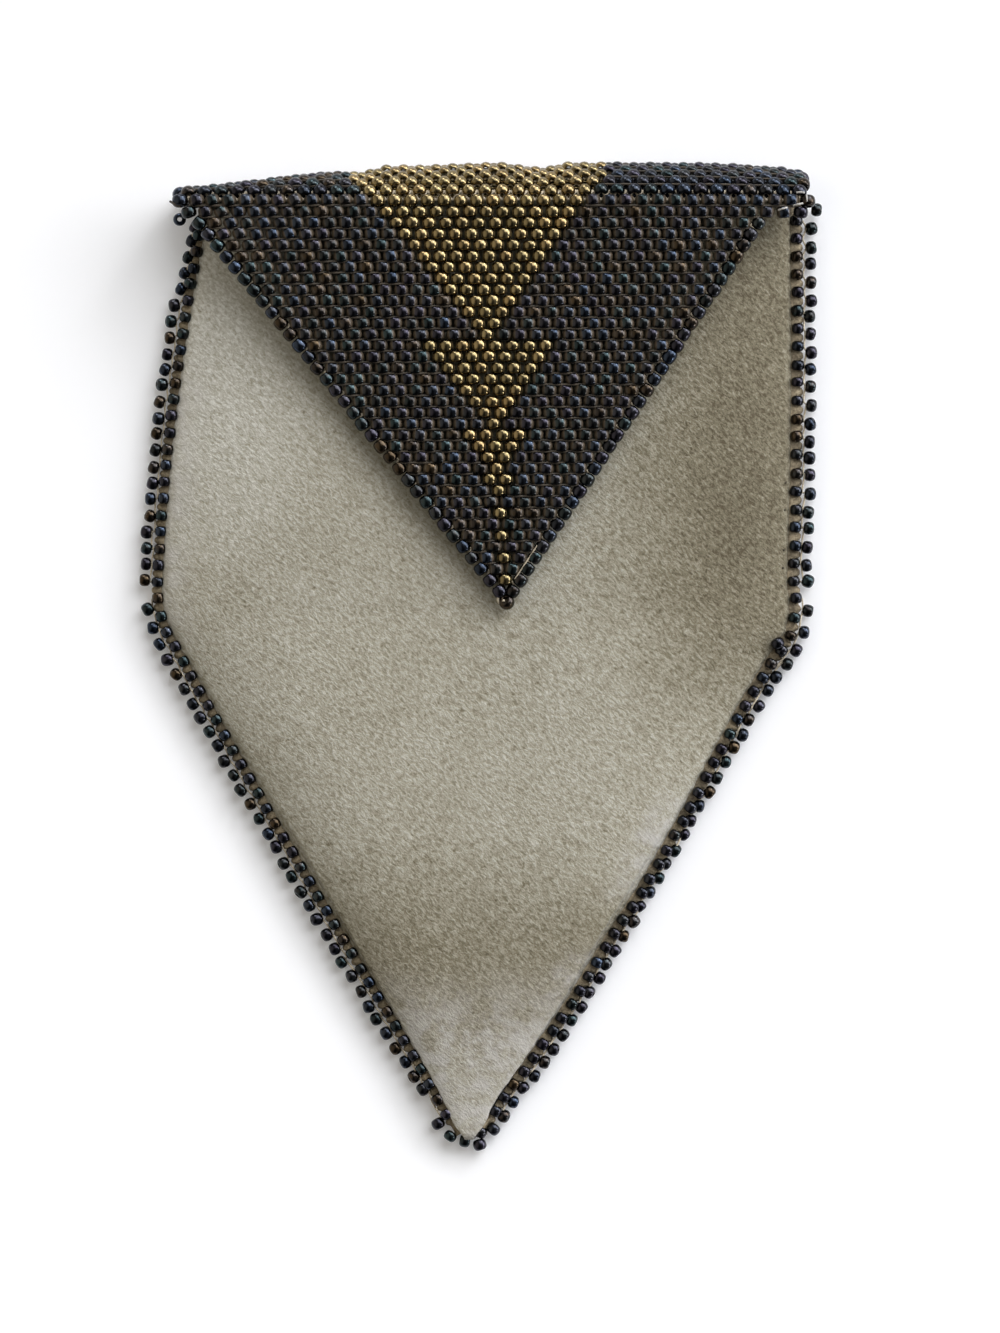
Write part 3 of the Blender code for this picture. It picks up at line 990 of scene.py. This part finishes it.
def edging_bead_place(side, y, outer):
    """(way outwards, way along, height, turn about Z, tilt) of a bead of the edging, with chance."""
    out, along, turn, tilt, low, high = EDGING_CHANCE[outer]
    offset = outer_offset(side, y) if outer else INNER_OFFSET[side] + edge_swell(side, y)
    offset += random.uniform(-out, out) * MM
    along = random.uniform(-along, along) * MM
    turn = random.uniform(-turn, turn) + (math.pi / 2 if outer else 0.0)
    tilt = random.uniform(-tilt, tilt)
    height = (SEAM_Z if outer else INNER_Z) + random.uniform(low, high) * MM
    height += (-0.5 if outer else 1.0) * PILE_HEIGHT * corner_pile(side, y)
    return offset, along, height, turn, tilt


def turned_at(x, y, z, turn, tilt=0.0):
    return Matrix.Translation((x, y, z)) @ Matrix.Rotation(turn, 4, "Z") @ Matrix.Rotation(tilt, 4, "X")


def make_edging(side, word, stretch):
    """Inner beads lie along the edge, and outer beads stand out between them. Gives the thread's way."""
    way = []
    for outer, row, size in ((False, "inner", INNER_EDGE_BEAD), (True, "outer", OUTER_EDGE_BEAD)):
        knot_out, knot_up = EDGING_KNOT[outer]
        beads = []
        for place, direction in side_places(side, stretch, outer):
            if place.y < TAPER_ENDS_Y[side, outer]:
                continue
            outward = Vector((-direction.y, direction.x)) * side
            offset, along, height, turn, tilt = edging_bead_place(side, place.y, outer)
            turn += math.atan2(direction.y, direction.x) - math.pi / 2
            at = place + outward * offset + direction * along
            beads.append((turned_at(at.x, at.y, height, turn, tilt), *size))
            knot = at + outward * knot_out
            way.append((-at.y, Vector((knot.x, knot.y, height + knot_up))))
        node = f"edging_{word}_{stretch}_{row}"
        for x, y, z, turn, lean in STRAY_BEADS.get(node, []):
            beads.append((turned_at(x * MM, y * MM, z * MM, turn, lean), *OUTER_EDGE_BEAD))
        piece = make_beads(f"{node}_beads", beads, DARK, "root", ROUND_BEAD)
        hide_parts(node)
    return [point for _, point in sorted(way, key=lambda item: item[0])]


def make_tip_edging():
    beads = []
    for x, y, turn in TIP_BEADS:
        height = SEAM_Z + random.uniform(-0.1, 0.3) * MM
        beads.append((turned_at(x * MM, y * MM, height, turn), *OUTER_EDGE_BEAD))
    piece = make_beads("edging_tip_beads", beads, DARK, "root", ROUND_BEAD)
    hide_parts("edging_tip")


def make_all_edging():
    ways = []
    for side, word in ((-1, "left"), (1, "right")):
        for stretch in ("side", "taper"):
            ways.append((make_edging(side, word, stretch), EDGING_THREAD))
        make_seam(side, word)
    make_tip_edging()
    make_threads("edging_threads", ways, "root")


# The beadwork


def bead_turn(row, index, count):
    """Small turns of one bead. The flap's end beads lean along its slanted edges."""
    turn = Euler([random.normal(0, TURN_SPREAD) for _ in range(3)])
    turn.y = random.uniform(0, math.pi)
    turn.z += LEFT_TURN * ease(row / FLAP_ROWS - 0.2) * ease(1.15 - 2.3 * index / count)
    if row == 1:
        return Matrix.Rotation(0.9, 4, "X") @ Matrix.Rotation(0.3, 4, "Z")
    own = turn.to_matrix().to_4x4()
    if row < STEP_ROW and index in (0, count - 1):
        return Matrix.Rotation(-EDGE_LEAN if index else EDGE_LEAN, 4, "Z") @ own
    return own


def make_row(row):
    """One row of beads: the dark ones stand for the CAD's row, and the gold ones lie in its middle."""
    node, body = row_node(row), row_body(row)
    places = row_beads(row)
    last = len(places) - 1
    reach = gold_beads(row) * BEAD_PITCH / 2
    dark, gold = [], []
    for index, x in enumerate(places):
        if row == ROOT_ROW and not ROOT_FIRST_X < x < ROOT_LAST_X:
            continue
        at_end = index in (0, last)
        slanted = at_end and last > 0 and row < STEP_ROW
        is_gold = abs(x - row_centre(row)) < reach
        shifted = x + random.normal(0, PLACE_SPREAD) * MM
        if slanted:
            shifted += -EDGE_INSET if index else EDGE_INSET
        if row > FLAP_ROWS and x > FOLD_CORNER_X:
            shifted -= FOLD_CORNER_INSET
        matrix = row_bead_place(row, shifted)
        matrix = matrix @ Matrix.Translation((0, random.normal(0, PLACE_SPREAD) * MM, 0))
        matrix = matrix @ bead_turn(row, index, len(places))
        radius, length = (EDGE_RADIUS, EDGE_HALF_LENGTH) if slanted else (DARK_RADIUS, BEAD_HALF_LENGTH)
        flanks = FOLD_FLANKS if row > FLAP_ROWS else 1.0
        if is_gold:
            radius = GOLD_RADIUS
        if at_end:
            flanks = END_FLANKS
        (gold if is_gold else dark).append((matrix, radius, length, flanks))
    piece = make_beads(f"{node}_dark", dark, DARK, body, FULL_BEAD)
    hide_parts(node)
    if gold:
        make_beads(f"{node}_gold", gold, GOLD, body, ROUND_BEAD)


def edge_bead(row, end):
    """Centre of a row's first or last bead, as placed."""
    return row_bead_place(row, row_beads(row)[end]).translation


def make_flap_threads():
    """Short bridges between the end beads of the rows, a loop at the tip and the corners' stitches."""
    threads = []
    for row in range(2, STEP_ROW - 1):
        for end, side in ((0, -1), (-1, 1)):
            if (row + (end == 0)) % 2:
                continue
            near, far = edge_bead(row, end), edge_bead(row + 1, end)
            inward = Vector((-side * 0.78, 0.42, 0.42)) * MM
            start = near + Vector((side * 0.10, 0.72, 0.25)) * MM
            finish = far + Vector((-side * 0.95, -0.10, 0.10)) * MM
            threads.append(([start, (start + finish) / 2 + inward * 0.35, finish], BRIDGE_THREAD))
    for row in range(3, 6):
        near, far = edge_bead(row, -1), edge_bead(row + 1, -1)
        inward = Vector((-0.85, 0.1, 0.55)) * MM
        threads.append(([near + inward, (near + far) / 2 + inward, far + inward], SIDE_THREAD))
    tip = edge_bead(1, 0)
    threads.append(([tip + point for point in in_mm(TIP_LOOP)], TIP_THREAD))
    make_threads("flap_threads", threads, "flap")
    stitches = [(in_mm(stitch), CORNER_THREAD) for stitch in CORNER_STITCHES]
    make_threads("corner_stitches", stitches, "flap", PALE_THREAD)
    make_threads("loose_end", [(in_mm(LOOSE_END), LOOSE_THREAD)], "flap", DARK_THREAD)


def root_beads():
    """x of the root row's beads. The CAD's row has more of them."""
    return [x for x in row_beads(ROOT_ROW) if ROOT_FIRST_X < x < ROOT_LAST_X]


def make_root_threads():
    """Whip stitches that hold the root row to the back panel's edge."""
    threads = []
    for x in root_beads():
        edge = MOUTH_Y + mouth_shift(x)
        middle = x + BEAD_PITCH / 2
        loop = [
            (x, edge + 1.3 * MM, 1.0 * MM),
            (middle, edge + 0.45 * MM, 1.12 * MM),
            (middle, edge - 0.9 * MM, 1.1 * MM),
            (middle, edge - 1.2 * MM, 0.9 * MM),
        ]
        threads.append((loop, ROOT_THREAD))
    make_threads("root_threads", threads, "root")


def lattice(row_a, row_b, xs, ends, parts=1):
    """Straight threads from the beads of one row to their two neighbours in another: (start, end) pairs.

    ends holds x of the other row's first and last bead, and parts how many threads there are to a bead.
    """
    pairs = []
    for step in range((len(xs) - 1) * parts + 1):
        x = xs[0] + step * BEAD_PITCH / parts
        start = row_bead_place(row_a, x).translation
        for side in (-1, 1):
            other = min(max(x + side * BEAD_PITCH / 2, ends[0]), ends[-1])
            pairs.append((start, row_bead_place(row_b, other).translation))
    return pairs


def make_lattice(name, pairs, radius, body=None):
    """Threads with a ring of points at each end only, so that a blended piece keeps them straight."""
    points, faces = joined(tube([start, end], radius, 6) for start, end in pairs)
    return add_piece(name, points, faces, THREAD, body)


def make_flap_hinge_threads():
    """Threads that join the fold to the flap."""
    pairs = lattice(FLAP_ROWS, FLAP_ROWS + 1, row_beads(FLAP_ROWS), row_beads(FLAP_ROWS + 1), 2)
    piece = make_lattice("flap_hinge_threads", pairs, HINGE_THREAD)
    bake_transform(piece)


def make_root_hinge_threads():
    """Threads that join the fold to the root row, and to the panel's edge left of it."""
    xs = row_beads(ROOT_ROW)
    inside = root_beads()
    pairs = lattice(ROOT_ROW, ROOT_ROW - 1, inside, inside, 2)
    outside = [x for x in xs if x < inside[0]]
    for _, end in lattice(FLAP_ROWS, ROOT_ROW - 2, outside, [xs[0], inside[0]], 3):
        edge = MOUTH_Y + mouth_shift(end.x) - 0.6 * MM
        pairs.append((Vector((end.x, edge, SUEDE_THICKNESS)), end))
        pairs.append((Vector((end.x + BEAD_PITCH / 2, edge, SUEDE_THICKNESS)), end))
    piece = make_lattice("root_hinge_threads", pairs, HINGE_THREAD)
    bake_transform(piece)


def make_fold_threads():
    """Threads between the fold's own rows."""
    pairs = []
    for row in range(FLAP_ROWS + 1, ROOT_ROW - 1):
        pairs += lattice(row, row + 1, row_beads(row), row_beads(row + 1))
    make_lattice("fold_threads", pairs, FOLD_THREAD, "fold")


def valley_lines(row):
    """Points above the gap between a row and the next, left and right of the gold beads."""
    reach = gold_beads(row) * BEAD_PITCH / 2
    up = Vector((0, 0, 1))
    lines = {-1: [], 1: []}
    for x in row_beads(row):
        if abs(x - row_centre(row)) < reach:
            continue
        for shifted, lift in zip((x, x + BEAD_PITCH / 2), VALLEY_LIFT):
            near, far = row_bead_place(row, shifted), row_bead_place(row + 1, shifted)
            middle = (near.translation + far.translation) / 2
            normal = (near.to_3x3() @ up + far.to_3x3() @ up).normalized()
            lines[-1 if x < row_centre(row) else 1].append(middle + normal * lift)
    return [line[:-1] for line in lines.values() if len(line) > 3]


def make_row_threads():
    """The stitch's thread, which lies in the valley between two rows of beads. Its dark colour is painted
    shade.
    """
    for body, rows in (("flap", range(1, FLAP_ROWS)), ("fold", range(FLAP_ROWS + 1, ROOT_ROW - 1))):
        threads = [(line, VALLEY_THREAD) for row in rows for line in valley_lines(row)]
        make_threads(f"{body}_row_threads", threads, body, DARK_THREAD)


def make_stitch_holes():
    """Small dark dents of the edging's stitches in the suede, at the right. Their dark colour is painted
    shade inside the holes.
    """
    depth, radius = Vector((0, 0, 0.62 * MM)), 0.16 * MM
    starts = in_mm([(x, y, 1.9) for x, y in STITCH_HOLES])
    points, faces = joined(tube([start, start + depth], radius, 10) for start in starts)
    add_piece("stitch_holes", points, faces, HOLE_SHADE, "root")


def make_beadwork():
    for row in range(1, ROOT_ROW + 1):
        make_row(row)
    make_flap_threads()
    make_root_threads()
    make_flap_hinge_threads()
    make_root_hinge_threads()
    make_fold_threads()
    make_row_threads()
    make_stitch_holes()


# The studio


def toward(zenith, azimuth):
    """The direction at an angle from straight up, turned from +X towards +Y. Angles are in degrees."""
    a, b = math.radians(zenith), math.radians(azimuth)
    return (math.sin(a) * math.cos(b), math.sin(a) * math.sin(b), math.cos(a))


def make_world():
    """A room with an arched window at the right, a warm wall at the left and a dark onlooker below."""
    world = bpy.data.worlds.new("studio")
    bpy.context.scene.world = world
    world.use_nodes = True
    tree = world.node_tree
    way = add_node(tree, "TexCoord").outputs["Generated"]

    def lobe(direction, inner, outer, strength):
        inputs = {0: way, 1: toward(*direction)}
        cosine = add_node(tree, "VectorMath", inputs, operation="DOT_PRODUCT").outputs["Value"]
        outer, inner = math.cos(math.radians(outer)), math.cos(math.radians(inner))
        return spread(tree, cosine, outer, inner, 0.0, strength)

    window = 0.0
    for window_lobe in WINDOW_LOBES:
        window = math_node(tree, "MAXIMUM", window, lobe(*window_lobe))
    window = multiply(tree, window, subtract(tree, 1.0, lobe(*PANE_LOBE)))
    shade = 1.0
    for dark_lobe in ONLOOKER_LOBES:
        shade = math_node(tree, "MINIMUM", shade, subtract(tree, 1.0, lobe(*dark_lobe)))
    cool = tint(tree, (0.97, 0.985, 1.02), multiply(tree, add(tree, window, AMBIENT), shade))
    warm = tint(tree, (1.0, 0.90, 0.72), multiply(tree, lobe(*WALL_LOBE), shade))
    colour = add_node(tree, "VectorMath", {0: cool, 1: warm}, operation="ADD").outputs["Vector"]
    set_inputs(tree, tree.nodes["Background"], {"Color": colour})


def make_lamp():
    """A small low lamp at the right, for the bright points on the beads."""
    lamp = bpy.data.lights.new("low_lamp", "AREA")
    lamp.size = 0.09
    lamp.energy = 0.45
    holder = new_object("low_lamp", lamp)
    holder.location = Vector(toward(76, -30)) * 0.6
    holder.rotation_euler = (-holder.location).to_track_quat("-Z", "Y").to_euler()


def make_floor():
    """A plain white floor, shown a little brighter to the camera and in gloss."""
    mesh = bpy.data.meshes.new("floor")
    mesh.from_pydata([(-6, -6, 0), (6, -6, 0), (6, 6, 0), (-6, 6, 0)], [], [(0, 1, 2, 3)])
    material, tree, shader = new_material("floor")
    rays = add_node(tree, "LightPath").outputs
    shown = math_node(tree, "MAXIMUM", rays["Is Camera Ray"], rays["Is Glossy Ray"])
    shown = math_node(tree, "MAXIMUM", shown, rays["Is Transmission Ray"])
    set_inputs(tree, shader, {
        "Base Color": (0.91, 0.91, 0.92, 1),
        "Roughness": 1.0,
        "Specular IOR Level": 0.0,
        "Emission Color": (1, 1, 1, 1),
        "Emission Strength": multiply(tree, shown, FLOOR_GLOW),
    })
    mesh.materials.append(material)
    floor = new_object("floor", mesh)
    floor.location.z = -0.02 * MM


def make_camera():
    """Straight above the bag, with the photograph's frame of 1000 by 1333."""
    camera = bpy.data.cameras.new("camera")
    camera.sensor_width = SENSOR_WIDTH
    camera.lens = SENSOR_WIDTH * CAMERA_HEIGHT / VIEW_LENGTH
    camera.clip_start = 0.01
    holder = new_object("camera", camera)
    holder.location = (*VIEW_CENTRE, CAMERA_HEIGHT)
    bpy.context.scene.camera = holder


make_front()
make_back()
make_beadwork()
make_all_edging()
make_world()
make_lamp()
make_floor()
make_camera()
bpy.context.scene.view_settings.view_transform = "Standard"
